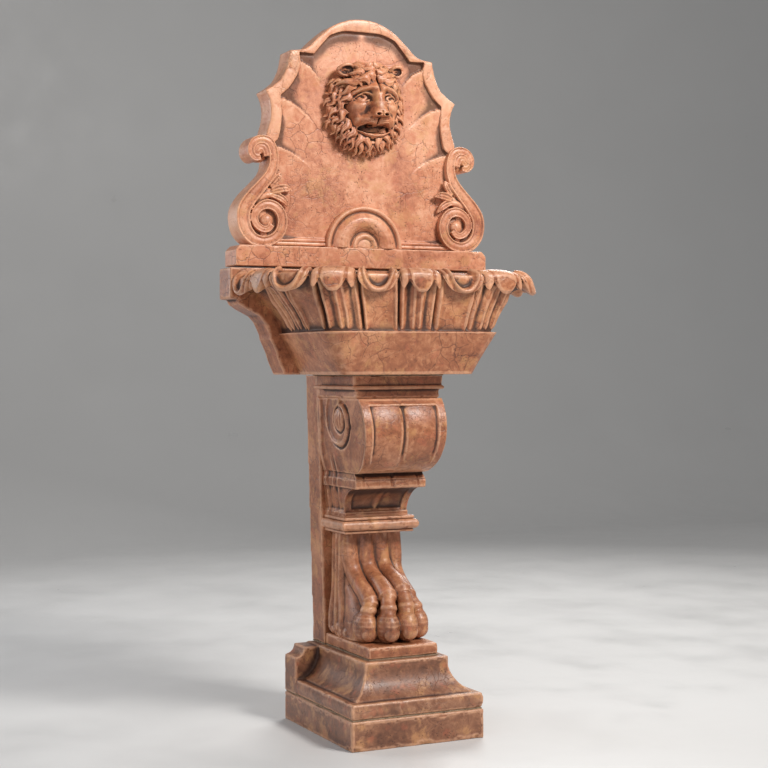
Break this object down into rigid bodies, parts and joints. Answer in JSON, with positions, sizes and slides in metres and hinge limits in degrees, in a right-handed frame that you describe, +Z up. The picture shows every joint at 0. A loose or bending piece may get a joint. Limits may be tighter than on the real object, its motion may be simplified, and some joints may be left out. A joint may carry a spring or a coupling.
{
  "type": "garden wall fountain",
  "caption": "Carved marble wall fountain: scalloped basin on a lion-paw console, with a cusped back panel and a lion mask that spouts.",
  "frame": {"origin": "on the floor, under the middle of the fountain's overall width and depth", "axes": "+X to the right as seen from the front, +Y towards the wall, +Z up"},
  "size_m": [0.748, 0.4619, 1.8299],
  "materials": {
    "red_marble": "satin",
    "lime_mortar": "matte",
    "stainless_steel": "satin",
    "brass": "satin",
    "copper_tube": "satin",
    "rubber": "matte"
  },
  "bodies": {
    "root": {"base_block": "red_marble", "base_moulding": "red_marble", "back_slab": "red_marble", "console_leg": "red_marble", "basin": "red_marble", "back_panel": "red_marble", "lion_mask": "red_marble", "base_bed": "lime_mortar", "leg_bed": "lime_mortar", "basin_bed": "lime_mortar", "ledge_bed": "lime_mortar", "base_dowels": "stainless_steel", "leg_dowels": "stainless_steel", "basin_dowels": "stainless_steel", "panel_dowels": "stainless_steel", "mask_pin": "stainless_steel", "slab_staples": "stainless_steel", "basin_wall_cramps": "stainless_steel", "panel_wall_cramps": "stainless_steel", "waste_body": "brass", "waste_washer": "brass", "waste_nut": "brass", "waste_socket": "brass", "spout_washer": "brass", "spout_nut": "brass", "supply_socket": "brass", "spout_tube": "copper_tube", "waste_pipe": "copper_tube", "waste_seal": "rubber"},
    "overflow": {"overflow_pipe": "brass", "overflow_strainer": "brass"}
  },
  "joints": [
    {"name": "overflow_lift", "type": "slide", "parent": "root", "child": "overflow", "axis": [0, 0, 1], "range_m": [0, 0.12]}
  ]
}
